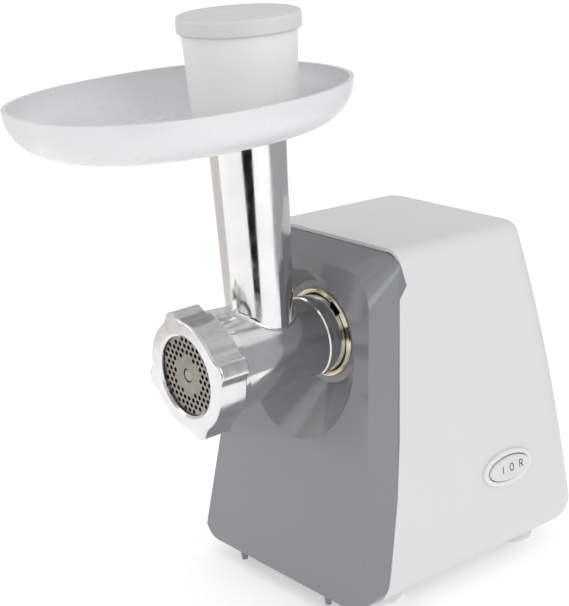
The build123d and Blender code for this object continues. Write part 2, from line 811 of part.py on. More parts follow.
def gear_sketch(plane, centre, module, teeth, first_tooth):
    """Involute gear outline with a tooth centred at first_tooth degrees."""
    root = module * (teeth / 2 - 1.25)
    tip = module * (teeth / 2 + 1)
    base_radius = module * teeth / 2 * cos(radians(pressure_angle))
    low = max(root, base_radius)
    flank = [root] if root < base_radius else []
    flank += [low + (tip - low) * step / 3 for step in range(4)]
    with BuildSketch(plane) as outline:
        with BuildLine():
            for tooth in range(teeth):
                middle = radians(first_tooth + 360 * tooth / teeth)
                rise = [(r, middle - tooth_half_angle(module, teeth, r)) for r in flank]
                fall = [(r, 2 * middle - turn) for r, turn in reversed(rise)]
                next_rise = rise[0][1] + 2 * pi / teeth
                gap = [(root, (fall[-1][1] + next_rise) / 2), (root, next_rise)]
                points = [
                    (centre[0] + r * cos(turn), centre[1] + r * sin(turn)) for r, turn in rise + fall + gap
                ]
                count = len(rise)
                start = count - 4
                if start:
                    Line(points[0], points[1])
                Spline(*points[start:count])
                Line(points[count - 1], points[count])
                Spline(*points[count : count + 4])
                if start:
                    Line(points[count + 3], points[count + 4])
                ThreePointArc(points[2 * count - 1], points[2 * count], points[2 * count + 1])
        make_face()
    return outline.sketch


half_pitch = [180 / teeth for teeth in (first_teeth, second_teeth, output_teeth)]
to_first = bearing_angle(motor_centre, first_centre)
to_second = bearing_angle(first_centre, second_centre)
to_output = bearing_angle(second_centre, output_centre)
output_gear_y = gear_y + 2.0
output_gear_width = 10.0
second_wheel_y = output_gear_y + output_gear_width + gear_side_gap
second_wheel_width = 7.0
first_wheel_y = second_wheel_y + second_wheel_width + gear_side_gap - 0.5
first_wheel_width = 5.0

with BuildPart() as output_gear:
    extrude(
        gear_sketch(
            front(output_gear_y + output_gear_width),
            output_centre,
            second_module,
            output_teeth,
            to_output + 180 + half_pitch[2],
        ),
        amount=output_gear_width,
    )
    bar(output_gear_y + output_gear_width + 1, output_gear_y + 7, 36, mode=Mode.SUBTRACT)
    bar(output_gear_y + output_gear_width, output_gear_y + 3, 13)
    bar(output_gear_y + output_gear_width + 1, output_gear_y - 1, shaft_radius, mode=Mode.SUBTRACT)
save(output_gear, "output_gear")


def wheel(module, teeth, first_tooth, centre, fore, width):
    """Spur wheel in the open part."""
    extrude(gear_sketch(front(fore + width), centre, module, teeth, first_tooth), amount=width)


pinion_bore = axle_radius + running_clearance
hub_bore = 5.5
with BuildPart() as second_stage_pinion:
    depth = output_gear_width + 2
    wheel(second_module, second_pinion_teeth, to_output, second_centre, output_gear_y - 1, depth)
    bar(second_wheel_y + second_wheel_width, output_gear_y + output_gear_width, hub_bore, second_centre)
    bar(cover_y, gear_y, pinion_bore, second_centre, Mode.SUBTRACT)
save(second_stage_pinion, "second_stage_pinion")

with BuildPart() as second_stage_wheel:
    second_tooth = to_second + 180 + half_pitch[1]
    wheel(first_module, second_teeth, second_tooth, second_centre, second_wheel_y, second_wheel_width)
    bar(cover_y, gear_y, hub_bore, second_centre, Mode.SUBTRACT)
save(second_stage_wheel, "second_stage_wheel")

with BuildPart() as first_stage_pinion:
    depth = second_wheel_width + 1
    wheel(first_module, first_pinion_teeth, to_second, first_centre, second_wheel_y - 0.5, depth)
    bar(first_wheel_y + first_wheel_width, second_wheel_y + second_wheel_width, hub_bore, first_centre)
    bar(cover_y, gear_y, pinion_bore, first_centre, Mode.SUBTRACT)
save(first_stage_pinion, "first_stage_pinion")

with BuildPart() as first_stage_wheel:
    first_tooth = to_first + 180 + half_pitch[0]
    wheel(motor_module, first_teeth, first_tooth, first_centre, first_wheel_y, first_wheel_width)
    bar(cover_y, gear_y, hub_bore, first_centre, Mode.SUBTRACT)
save(first_stage_wheel, "first_stage_wheel")

pinion_shaft = 2.8
with BuildPart() as motor_pinion:
    depth = first_wheel_width + 1
    wheel(motor_module, motor_teeth, to_first, motor_centre, first_wheel_y - 0.5, depth)
    bar(cover_y, gear_y, pinion_shaft, motor_centre, Mode.SUBTRACT)
save(motor_pinion, "motor_pinion")

# ---- Motor ----
stack_rear = stack_y + stack_length
stator_bore = armature_radius + air_gap
end_y = fascia_y + motor_end
rear_bearing_y = end_y - 1.0 - bearing_width
with BuildPart() as motor_stator:
    with BuildSketch(front(stack_rear)):
        with Locations(motor_centre):
            RectangleRounded(2 * stack_half, 2 * stack_half, 8)
            Circle(stator_bore, mode=Mode.SUBTRACT)
            Rectangle(2 * coil_radius + 0.6, 26, mode=Mode.SUBTRACT)
        with Locations(*motor_corners):
            Circle(screw_radius + 0.3, mode=Mode.SUBTRACT)
    extrude(amount=stack_length)
save(motor_stator, "motor_stator")

coil_inner = stator_bore + 0.4
coil_gap = 4.0
with BuildPart() as field_coils:
    for flip in (1, -1):
        for rear, length in ((stack_y, coil_overhang), (stack_rear + coil_overhang, coil_overhang)):
            with BuildSketch(front(rear)) as band:
                with Locations(motor_centre):
                    Circle(coil_radius)
                    Circle(coil_inner, mode=Mode.SUBTRACT)
                with Locations((motor_centre[0], motor_centre[1] - flip * (40 - coil_gap / 2))):
                    Rectangle(80, 80, mode=Mode.SUBTRACT)
            extrude(band.sketch, amount=length)
        with BuildSketch(front(stack_rear)) as legs:
            with Locations(motor_centre):
                Circle(coil_radius)
                Circle(coil_inner, mode=Mode.SUBTRACT)
            with Locations((motor_centre[0], motor_centre[1] + flip * (6.2 + coil_gap / 4))):
                Rectangle(80, 11.6, mode=Mode.INTERSECT)
        extrude(legs.sketch, amount=stack_length)
save(field_coils, "field_coils")

slots = 12
with BuildPart() as armature_core:
    with BuildSketch(front(stack_rear)):
        with Locations(motor_centre):
            Circle(armature_radius)
            Circle(rotor_radius, mode=Mode.SUBTRACT)
            with PolarLocations(armature_radius - 4.5, slots):
                SlotOverall(7.5, 3.6, mode=Mode.SUBTRACT)
            with PolarLocations(armature_radius, slots):
                Rectangle(4, 1.2, mode=Mode.SUBTRACT)
    extrude(amount=stack_length)
save(armature_core, "armature_core")

winding_radius = armature_radius - 2.2
with BuildPart() as armature_winding:
    turned(
        [
            (stack_y, rotor_radius),
            (stack_y, winding_radius),
            (stack_y - 3, winding_radius - 0.5),
            (stack_y - 6, winding_radius - 4),
            (stack_y - 6, rotor_radius),
        ],
        motor_centre,
    )
    turned(
        [
            (stack_rear, rotor_radius),
            (stack_rear, winding_radius),
            (stack_rear + 4, winding_radius - 1),
            (stack_rear + 6.5, commutator_radius + 1),
            (stack_rear + 6.5, rotor_radius),
        ],
        motor_centre,
    )
    with BuildSketch(front(stack_rear)) as wires:
        with Locations(motor_centre):
            with PolarLocations(armature_radius - 4.5, slots):
                SlotOverall(7.3, 3.4)
    extrude(wires.sketch, amount=stack_length)
save(armature_winding, "armature_winding")

commutator_y = stack_rear + 6.5
commutator_bars = 24
with BuildPart() as commutator:
    bar(commutator_y + commutator_length, commutator_y, commutator_radius, motor_centre)
    bar(commutator_y + commutator_length + 1, commutator_y - 1, rotor_radius, motor_centre, Mode.SUBTRACT)
    with BuildSketch(front(commutator_y + commutator_length)) as cuts:
        with Locations(motor_centre):
            with PolarLocations(commutator_radius, commutator_bars):
                Rectangle(1.6, 0.4)
    extrude(cuts.sketch, amount=commutator_length - 1.5, mode=Mode.SUBTRACT)
save(commutator, "commutator")

with BuildPart() as rotor_shaft:
    bar(end_y + 1.5, bearing_front, rotor_radius, motor_centre)
    bar(bearing_front, first_wheel_y - 0.5, pinion_shaft, motor_centre)
save(rotor_shaft, "rotor_shaft")

fan_y = bearing_front + bearing_width + 1.0
fan_depth = 4.8
with BuildPart() as cooling_fan:
    bar(fan_y + fan_depth, fan_y, 7, motor_centre)
    bar(fan_y + 1.4, fan_y, fan_radius, motor_centre)
    with BuildSketch(front(fan_y + fan_depth)) as vanes:
        with Locations(motor_centre):
            with PolarLocations(fan_radius - 8.5, fan_blades):
                Rectangle(15, 1.4, rotation=35)
    extrude(vanes.sketch, amount=fan_depth - 0.5)
    bar(fan_y + 7, fan_y - 1, rotor_radius, motor_centre, Mode.SUBTRACT)
save(cooling_fan, "cooling_fan")

with BuildPart() as rotor_bearings:
    bearing_bore = rotor_radius + running_clearance
    for rear in (bearing_front + bearing_width, rear_bearing_y + bearing_width):
        bar(rear, rear - bearing_width, bearing_radius, motor_centre)
        bar(rear + 1, rear - bearing_width - 1, bearing_bore, motor_centre, Mode.SUBTRACT)
save(rotor_bearings, "rotor_bearings")

brush_y = commutator_y + commutator_length / 2
with BuildPart() as motor_bracket:
    extrude(arm_sketch(front(end_y)), amount=3)
    for corner in motor_corners:
        bar(end_y, stack_rear, boss_radius, corner)
    bar(end_y, rear_bearing_y - 1, bearing_radius + 2.5, motor_centre)
    for side in (-1, 1):
        x, z = motor_centre
        block((x - 26, end_y - 3, z - 5), (x + 26, end_y, z + 5))
        block((x + side * 22 - 3, brush_y + 4.6, z - 5), (x + side * 22 + 3, end_y, z + 5))
    bar(rear_bearing_y + bearing_width, rear_bearing_y - 2, bearing_radius, motor_centre, Mode.SUBTRACT)
    bar(end_y + 1, rear_bearing_y, rotor_radius + 1.5, motor_centre, Mode.SUBTRACT)
    for corner in motor_corners:
        bar(end_y + 1, stack_rear - 1, screw_radius + 0.3, corner, Mode.SUBTRACT)
save(motor_bracket, "motor_bracket")

with BuildPart() as motor_screws:
    for corner in motor_corners:
        screw(end_y, stack_y - 14, corner)
save(motor_screws, "motor_screws")

brush_half = 2.5
holder_wall = 1.2
with BuildPart() as brush_holders:
    for side in (-1, 1):
        x, z = motor_centre
        near, far = sorted((x + side * (commutator_radius + 1.5), x + side * 27))
        thick = brush_half + holder_wall
        block((near, brush_y - thick, z - thick), (far, brush_y + thick, z + thick))
        slot_end = (far, brush_y + brush_half, z + brush_half)
        block((near, brush_y - brush_half, z - brush_half), slot_end, Mode.SUBTRACT)
        cap_near, cap_far = sorted((x + side * 27, x + side * 28.5))
        block((cap_near, brush_y - thick, z - thick), (cap_far, brush_y + thick, z + thick))
save(brush_holders, "brush_holders")

with BuildPart() as carbon_brushes:
    for side in (-1, 1):
        x, z = motor_centre
        near, far = sorted((x + side * (commutator_radius + 0.15), x + side * 22))
        low = (near, brush_y - brush_half + 0.1, z - brush_half + 0.1)
        block(low, (far, brush_y + brush_half - 0.1, z + brush_half - 0.1))
save(carbon_brushes, "carbon_brushes")

# ---- Output shaft, seal, auger and blade ----
drive_y = fascia_y + 14.0  # front of the drive hub
drive_depth = 20.0
hub_radius = 12.0
head_back_y = fascia_y + 4.0
head_wall_y = head_back_y - head_wall
blade_y = plate_y + plate_thickness
blade_rear = blade_y + blade_thickness
with BuildPart() as output_shaft:
    bar(cover_rear + 5, bush_front - 4, shaft_radius)
    bar(bush_front - 0.4, drive_y, hub_radius)
    with BuildSketch(front(drive_y + drive_depth)) as hex_hole:
        with Locations(output_centre):
            RegularPolygon(drive_flats / 2 + 0.15, 6, major_radius=False)
    extrude(hex_hole.sketch, amount=drive_depth + 1, mode=Mode.SUBTRACT)
save(output_shaft, "output_shaft")

flight_radius = bore_radius - auger_clearance
washer = 1.0
flight_rear = head_wall_y - washer - 0.1
flight_front = blade_rear + 0.4
with BuildPart() as auger:
    bar(flight_rear, blade_rear, auger_core)
    bar(flight_rear, flight_rear - 2.5, flight_radius - 2)
    bar(head_back_y + 2, flight_rear, journal_radius)
    with BuildSketch(front(drive_y + drive_depth - 1)) as hex_shank:
        with Locations(output_centre):
            RegularPolygon(drive_flats / 2, 6, major_radius=False)
    extrude(hex_shank.sketch, amount=drive_y + drive_depth - 1 - head_back_y)
    with BuildSketch(front(blade_rear)) as square:
        with Locations(output_centre):
            Rectangle(blade_square, blade_square)
    extrude(square.sketch, amount=blade_thickness - 0.4)
    bar(blade_y + 1, plate_y + 0.3, pin_radius)
    chamfer(faces().sort_by(Axis.Y)[0].edges(), 0.6)
    flight_run = flight_rear - 2.5 - flight_front - flight_thickness
    helix_start = (0, flight_front + flight_thickness / 2, axis_z)
    helix_radius = (auger_core + flight_radius) / 2 - 0.4
    with BuildLine():
        flight_path = Helix(auger_pitch, flight_run, helix_radius, helix_start, (0, 1, 0))
    outward = (flight_path @ 0) - Vector(*helix_start)
    with BuildSketch(Plane(origin=flight_path @ 0, x_dir=outward, z_dir=flight_path % 0)) as flight:
        Rectangle(flight_radius - auger_core + 0.8, flight_thickness)
    sweep(flight.sketch, path=flight_path, is_frenet=True)
save(auger, "auger")

with BuildPart() as thrust_washer:
    bar(head_wall_y, head_wall_y - washer, flight_radius - 2)
    bar(head_wall_y + 1, head_wall_y - washer - 1, journal_radius, mode=Mode.SUBTRACT)
save(thrust_washer, "thrust_washer")

with BuildPart() as shaft_seal:
    bar(bush_front, bush_front - 2.4, 20)
    bar(bush_front + 1, bush_front - 3, hub_radius + 0.1, mode=Mode.SUBTRACT)
save(shaft_seal, "shaft_seal")

with BuildPart() as cutting_blade:
    with BuildSketch(front(blade_rear)):
        with Locations(output_centre):
            Circle(9.5)
            with PolarLocations(0, 4, nut_lobe_turn):
                with Locations((blade_radius / 2, 1.0)):
                    Rectangle(blade_radius - 1.5, 6.0)
            Circle(blade_radius, mode=Mode.INTERSECT)
            Rectangle(blade_square + 0.2, blade_square + 0.2, mode=Mode.SUBTRACT)
    extrude(amount=blade_thickness - 0.1)
save(cutting_blade, "cutting_blade")

# ---- Grinder head ----
barrel_front_y = plate_y + 2.2
thread_rear = barrel_front_y + thread_length
recess_rear = blade_rear + 2.4


def tube_radius(z):
    """Outer radius of the feed tube at a height."""
    share = (z - axis_z) / (tube_top_z - axis_z)
    return tube_base_radius - 0.6 + (tube_top_radius - tube_base_radius + 0.6) * share


thread_points = []
thread_root = thread_radius - thread_depth
for turn in range(4):
    crest = barrel_front_y + 1.0 + turn * thread_pitch
    thread_points += [(crest, thread_radius), (crest + 1.0, thread_radius)]
    thread_points += [(crest + 1.8, thread_root), (crest + 2.2, thread_root)]
bead_y = fascia_y + 5.4
key_y = plate_y + 4.6
key_radius = 1.5
with BuildPart() as grinder_head:
    turned(
        [(barrel_front_y, 0), (barrel_front_y, thread_radius - thread_depth)]
        + thread_points
        + [
            (thread_rear, thread_radius - thread_depth),
            (thread_rear + 0.5, thread_radius - 0.4),
            (thread_rear + 6, thread_radius - 1.2),
            (bead_y - 8, spigot_radius + 0.1),
            (bead_y - 2.4, spigot_radius + 0.1),
            (bead_y - 1.8, collar_radius),
            (bead_y + 1.6, collar_radius),
            (bead_y + 2.2, spigot_radius - 0.4),
            (bead_y + 3.4, spigot_radius),
            (fascia_y + spigot_length, spigot_radius),
            (fascia_y + spigot_length, 0),
        ]
    )
    tube_side = [(tube_radius(z), z) for z in (axis_z, tube_top_z)]
    spun([(0, axis_z), *tube_side, (0, tube_top_z)], (0, tube_y))
    join = edges().filter_by(GeomType.BSPLINE)
    fillet(join, 3.0)
    with BuildSketch(Plane.YZ) as rib:
        with BuildLine():
            Polyline(
                (tube_y, axis_z + 20),
                (tube_y, axis_z + 27.6 + rib_height),
                (thread_rear + 1.5, axis_z + thread_radius - 0.6 + rib_height),
                (thread_rear + 0.2, axis_z + thread_radius - 1.5),
                (thread_rear + 0.2, axis_z + 22),
                close=True,
            )
        make_face()
    extrude(rib.sketch, amount=rib_width / 2, both=True)
    bar(recess_rear, barrel_front_y - 1, plate_radius + loose_clearance, mode=Mode.SUBTRACT)
    turned(
        [
            (recess_rear, 0),
            (recess_rear, plate_radius + loose_clearance),
            (recess_rear + 5, bore_radius),
            (head_wall_y, bore_radius),
            (head_wall_y, 0),
        ],
        mode=Mode.SUBTRACT,
    )
    bar(head_back_y + 1, head_wall_y - 1, journal_radius + running_clearance, mode=Mode.SUBTRACT)
    bar(fascia_y + spigot_length + 1, head_back_y, spigot_radius - spigot_wall, mode=Mode.SUBTRACT)
    spun(
        [
            (0, axis_z),
            (tube_radius(axis_z) - tube_wall, axis_z),
            (tube_radius(tube_top_z) - tube_wall, tube_top_z),
            (0, tube_top_z + 1),
        ],
        (0, tube_y),
        Mode.SUBTRACT,
    )
    for side in (-1, 1):
        near, far = sorted((side * (spigot_radius - 1), side * lug_radius))
        low = (near, lug_y_rear - lug_length, axis_z - lug_width / 2)
        block(low, (far, lug_y_rear, axis_z + lug_width / 2))
    with BuildSketch(pin_plane) as notch:
        Circle(lock_pin_radius + 0.3)
    extrude(notch.sketch, amount=spigot_radius + 2, mode=Mode.SUBTRACT)
    post(axis_z - plate_radius - 2, axis_z - plate_radius, key_radius, (0, key_y), Mode.SUBTRACT)
save(grinder_head, "grinder_head")

with BuildPart() as plate_key:
    post(axis_z - plate_radius - 1.2, axis_z - plate_radius + 1.6, key_radius, (0, key_y))
save(plate_key, "plate_key")

# ---- Hole plate and ring nut ----
hole_rows = 8
hole_turn = radians(-3)
hole_field = 24.0
hole_points = []
for row in range(-hole_rows, hole_rows + 1):
    for column in range(-hole_rows, hole_rows + 1):
        u = plate_pitch * (column + 0.5 * row)
        v = plate_pitch * row * sqrt(3) / 2
        if plate_hub + plate_hole < hypot(u, v) < hole_field - plate_hole:
            spot = (u * cos(hole_turn) - v * sin(hole_turn), u * sin(hole_turn) + v * cos(hole_turn))
            hole_points.append((spot[0], axis_z + spot[1]))
with BuildPart() as hole_plate:
    with BuildSketch(front(plate_y + plate_thickness)):
        with Locations(output_centre):
            Circle(plate_radius)
            Circle(pin_radius + 0.25, mode=Mode.SUBTRACT)
        with Locations(*hole_points):
            Circle(plate_hole, mode=Mode.SUBTRACT)
        with Locations((0, axis_z - plate_radius)):
            Rectangle(2 * key_radius + 0.6, 4.4, mode=Mode.SUBTRACT)
    extrude(amount=plate_thickness)
save(hole_plate, "hole_plate")

nut_front_y = plate_y - nut_lip
nut_rear_y = nut_front_y + nut_length
nut_bore = thread_radius + thread_clearance
lobe_flat = 8.0
waist = 3.4
shadow_gap = 0.7
hollow_radius = (nut_radius + nut_lobe_radius) / 2 - 0.9
with BuildPart() as ring_nut:
    lobe_step = 360 / nut_lobes
    lobe_half = degrees(asin(lobe_flat / 2 / nut_lobe_radius))
    with BuildSketch(front(nut_rear_y)):
        with BuildLine():
            for lobe in range(nut_lobes):
                middle = nut_lobe_turn + lobe * lobe_step
                tip_start = around(output_centre, nut_lobe_radius, middle - lobe_half)
                tip_top = around(output_centre, nut_lobe_radius + 0.5, middle)
                tip_end = around(output_centre, nut_lobe_radius, middle + lobe_half)
                valley = around(output_centre, nut_radius, middle + lobe_half + waist * 4)
                next_lobe = middle + lobe_step - lobe_half
                far_valley = around(output_centre, nut_radius, next_lobe - waist * 4)
                crown = around(output_centre, nut_radius, middle + lobe_step / 2)
                next_start = around(output_centre, nut_lobe_radius, middle + lobe_step - lobe_half)
                ThreePointArc(tip_start, tip_top, tip_end)
                hollow = around(output_centre, hollow_radius, middle + lobe_half + waist * 1.7)
                ThreePointArc(tip_end, hollow, valley)
                ThreePointArc(valley, crown, far_valley)
                hollow_angle = middle + lobe_step - lobe_half - waist * 1.7
                far_hollow = around(output_centre, hollow_radius, hollow_angle)
                ThreePointArc(far_valley, far_hollow, next_start)
        make_face()
    extrude(amount=nut_length)
    fillet(faces().sort_by(Axis.Y)[0].outer_wire().edges(), 1.4)
    fillet(faces().sort_by(Axis.Y)[-1].outer_wire().edges(), 1.0)
    turned(
        [
            (nut_front_y - 0.1, 0),
            (nut_front_y - 0.1, nut_opening + 1.7),
            (nut_front_y + 1.0, nut_opening),
            (plate_y - shadow_gap, nut_opening),
            (plate_y - shadow_gap, nut_opening + 1.3),
            (plate_y, nut_opening + 1.3),
            (plate_y, nut_bore - thread_depth),
            (plate_y + 3, nut_bore - thread_depth + 1.2),
            (barrel_front_y + 0.8, nut_bore),
            (nut_rear_y + 1, nut_bore),
            (nut_rear_y + 1, 0),
        ],
        mode=Mode.SUBTRACT,
    )
save(ring_nut, "ring_nut")


# ---- Tray, pusher and cap ----
tray_power = 2.25


def oval(z, half_length, half_width):
    """Closed superellipse in the plane at z, about the tray's centre."""
    steps = 28
    points = []
    for step in range(steps):
        turn = 2 * pi * step / steps
        u, v = cos(turn), sin(turn)
        x = half_width * abs(u) ** (2 / tray_power) * (1 if u >= 0 else -1)
        y = half_length * abs(v) ** (2 / tray_power) * (1 if v >= 0 else -1)
        points.append((x, tray_y + y))
    with BuildSketch(Plane.XY.offset(z)) as outline:
        with BuildLine():
            Spline(*points, periodic=True)
        make_face()
    return outline.sketch


def tray_form(inset):
    """The tray's bowl as a solid, drawn in by inset and open upwards."""
    with BuildPart() as form:
        sections = []
        for turn in (0, 20, 40, 60, 78):
            drop = tray_depth * sin(radians(turn))
            draw_in = tray_side * (1 - cos(radians(turn)))
            lift = inset * sin(radians(turn)) / sin(radians(78))
            level = rim_z - drop + lift + (0.5 if inset and turn == 0 else 0)
            reach = draw_in + inset
            sections.append(oval(level, tray_length / 2 - reach, tray_width / 2 - reach))
        loft(sections)
    return form.part


tray_floor_z = rim_z - tray_depth * sin(radians(78)) + tray_wall
throat_radius = stem_radius + 0.5
sleeve_radius = tube_radius(tube_top_z - sleeve_length) - tube_wall - loose_clearance
with BuildPart() as food_tray:
    add(tray_form(0))
    add(tray_form(tray_wall), mode=Mode.SUBTRACT)
    post(tube_top_z + 0.1, tray_floor_z, tube_top_radius + 2.6, (0, tube_y))
    post(tube_top_z - 7, tube_top_z + 0.2, tube_top_radius + 2.6, (0, tube_y))
    spun(
        [
            (0, tube_top_z + 0.1),
            (0, tube_top_z - 8),
            (tube_radius(tube_top_z - 8) + loose_clearance, tube_top_z - 8),
            (tube_radius(tube_top_z) + loose_clearance, tube_top_z + 0.1),
        ],
        (0, tube_y),
        Mode.SUBTRACT,
    )
    post(tube_top_z - sleeve_length, tray_floor_z, sleeve_radius, (0, tube_y))
    post(tube_top_z - sleeve_length - 1, rim_z, throat_radius, (0, tube_y), Mode.SUBTRACT)
save(food_tray, "food_tray")

pusher_foot_z = tray_floor_z + 0.3
with BuildPart() as pusher:
    spun(
        [
            (0, pusher_foot_z - stem_length),
            (stem_radius - 3, pusher_foot_z - stem_length),
            (stem_radius, pusher_foot_z - stem_length + 3),
            (stem_radius, pusher_foot_z),
            (pusher_foot_radius - 2.5, pusher_foot_z),
            (pusher_foot_radius - 0.7, pusher_foot_z + 0.7),
            (pusher_foot_radius, pusher_foot_z + 2.5),
            (pusher_radius, cap_top_z - cap_skirt - 1),
            (pusher_radius, pusher_top_z + 6),
            (pusher_radius - pusher_wall, pusher_top_z + 6),
            (pusher_foot_radius - pusher_wall, pusher_foot_z + pusher_wall),
            (stem_radius - pusher_wall, pusher_foot_z + pusher_wall),
            (stem_radius - pusher_wall, pusher_foot_z - stem_length + pusher_wall),
            (0, pusher_foot_z - stem_length + pusher_wall),
        ],
        (0, tube_y),
    )
save(pusher, "pusher")

with BuildPart() as pusher_cap:
    spun(
        [
            (0, cap_top_z),
            (cap_radius - 2.2, cap_top_z),
            (cap_radius - 0.6, cap_top_z - 0.6),
            (cap_radius, cap_top_z - 2.2),
            (cap_radius, cap_top_z - cap_skirt + 1),
            (cap_radius - 1, cap_top_z - cap_skirt),
            (pusher_radius + loose_clearance, cap_top_z - cap_skirt),
            (pusher_radius + loose_clearance, pusher_top_z + 6.1),
            (0, pusher_top_z + 6.1),
        ],
        (0, tube_y),
    )
save(pusher_cap, "pusher_cap")

# ---- Release button and lock pin ----
button_face_y = fascia_y + fascia_lean * (button_centre[1] - axis_z)
stem_rear_y = pin_line_y + 8
out = Vector(cos(radians(button_turn)), 0, sin(radians(button_turn)))
across = Vector(-sin(radians(button_turn)), 0, cos(radians(button_turn)))


def radial_plane(offset):
    """Plane through the grinding axis and the button: u is +Y and v points outwards."""
    return Plane(origin=Vector(0, 0, axis_z) + across * offset, x_dir=(0, 1, 0), z_dir=-across)


window_gap = 0.35
bar_thickness = 4.0
bar_half = 4.6
window_half = lock_pin_radius + window_gap
bar_inner = button_reach - bar_thickness / 2
bar_outer = bar_inner + bar_thickness
window_front = pin_line_y - lock_pin_radius - window_gap - button_travel
window_rear = pin_line_y + lock_pin_radius + window_gap
pin_head_radius = 3.4
with BuildPart() as release_button:
    bar(button_face_y + 8, button_face_y - 3.4, button_radius, button_centre)
    fillet(faces().sort_by(Axis.Y)[0].edges(), 1.2)
    with BuildSketch(radial_plane(-bar_half)) as stem_side:
        with BuildLine():
            Polyline(
                (button_face_y + 4, bar_inner),
                (stem_rear_y, bar_inner),
                (stem_rear_y, bar_outer),
                (button_face_y + 4, bar_outer),
                close=True,
            )
        make_face()
    extrude(stem_side.sketch, amount=2 * bar_half, dir=across)
    with BuildSketch(radial_plane(-window_half)) as window:
        with BuildLine():
            Polyline(
                (window_front, bar_inner - 1),
                (window_rear, bar_inner - 1),
                (window_rear, bar_outer + 1),
                (window_front, bar_outer + 1),
                close=True,
            )
        make_face()
    extrude(window.sketch, amount=2 * window_half, dir=across, mode=Mode.SUBTRACT)
save(release_button, "release_button")

pin_tip = spigot_radius + 0.15
pin_top = bar_outer + 2.6


def radial_rod(low, high, radius, mode=Mode.ADD):
    """Round rod on the lock pin's line between two radii in the open part."""
    with BuildSketch(pin_plane.offset(low)) as disc:
        Circle(radius)
    extrude(disc.sketch, amount=high - low, mode=mode)


pin_collar_low = socket_outer + 14
with BuildPart() as lock_pin:
    radial_rod(pin_tip, pin_top, lock_pin_radius)
    chamfer(faces().sort_by(Axis((0, 0, axis_z), tuple(out)))[0].edges(), 0.8)
    radial_rod(pin_collar_low, pin_collar_low + 1.6, lock_pin_radius + 2.2)
    radial_rod(bar_outer + 0.2, bar_outer + 0.2 + 2.0, pin_head_radius)
save(lock_pin, "lock_pin")

coil_turns = 5
wire_radius = 0.6
spring_low = socket_outer + 0.4 + wire_radius
spring_high = pin_collar_low - 0.3 - wire_radius
with BuildPart() as lock_pin_spring:
    with BuildLine():
        coil = Helix(
            (spring_high - spring_low) / coil_turns,
            spring_high - spring_low,
            lock_pin_radius + 1.3,
            center=tuple(pin_plane.origin + pin_plane.z_dir * spring_low),
            direction=tuple(pin_plane.z_dir),
        )
    with BuildSketch(Plane(origin=coil @ 0, z_dir=coil % 0)):
        Circle(wire_radius)
    sweep(path=coil, is_frenet=True)
save(lock_pin_spring, "lock_pin_spring")
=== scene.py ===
"""Looks of the electric meat grinder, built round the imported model.

Metres, +Z up, -Y front, +X switch side.
"""

import math

import bmesh
import bpy
from mathutils import Matrix, Vector
from mathutils.bvhtree import BVHTree


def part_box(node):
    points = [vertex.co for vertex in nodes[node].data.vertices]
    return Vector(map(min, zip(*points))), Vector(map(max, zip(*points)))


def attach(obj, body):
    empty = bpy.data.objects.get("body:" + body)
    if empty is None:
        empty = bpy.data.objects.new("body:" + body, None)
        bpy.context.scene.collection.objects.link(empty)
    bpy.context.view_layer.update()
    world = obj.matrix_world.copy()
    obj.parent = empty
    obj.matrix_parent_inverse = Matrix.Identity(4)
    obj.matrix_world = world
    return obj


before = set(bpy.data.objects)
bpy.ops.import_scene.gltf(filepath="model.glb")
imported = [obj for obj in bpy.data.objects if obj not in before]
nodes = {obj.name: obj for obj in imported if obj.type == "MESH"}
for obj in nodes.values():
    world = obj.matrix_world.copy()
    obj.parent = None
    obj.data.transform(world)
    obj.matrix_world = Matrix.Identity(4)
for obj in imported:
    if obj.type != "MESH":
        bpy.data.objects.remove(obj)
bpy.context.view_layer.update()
AXIS_Z = 0.158  # height of the auger's axis
tube_low, tube_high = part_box("pusher_cap")
TUBE_Y = (tube_low.y + tube_high.y) / 2
FASCIA_AHEAD = 0.0288  # the feed tube stands this far in front of the fascia
FASCIA_Y = TUBE_Y + FASCIA_AHEAD


# ---- Material building blocks ----
WAVE = 0.31  # a wave texture's scale times the spacing of its lines


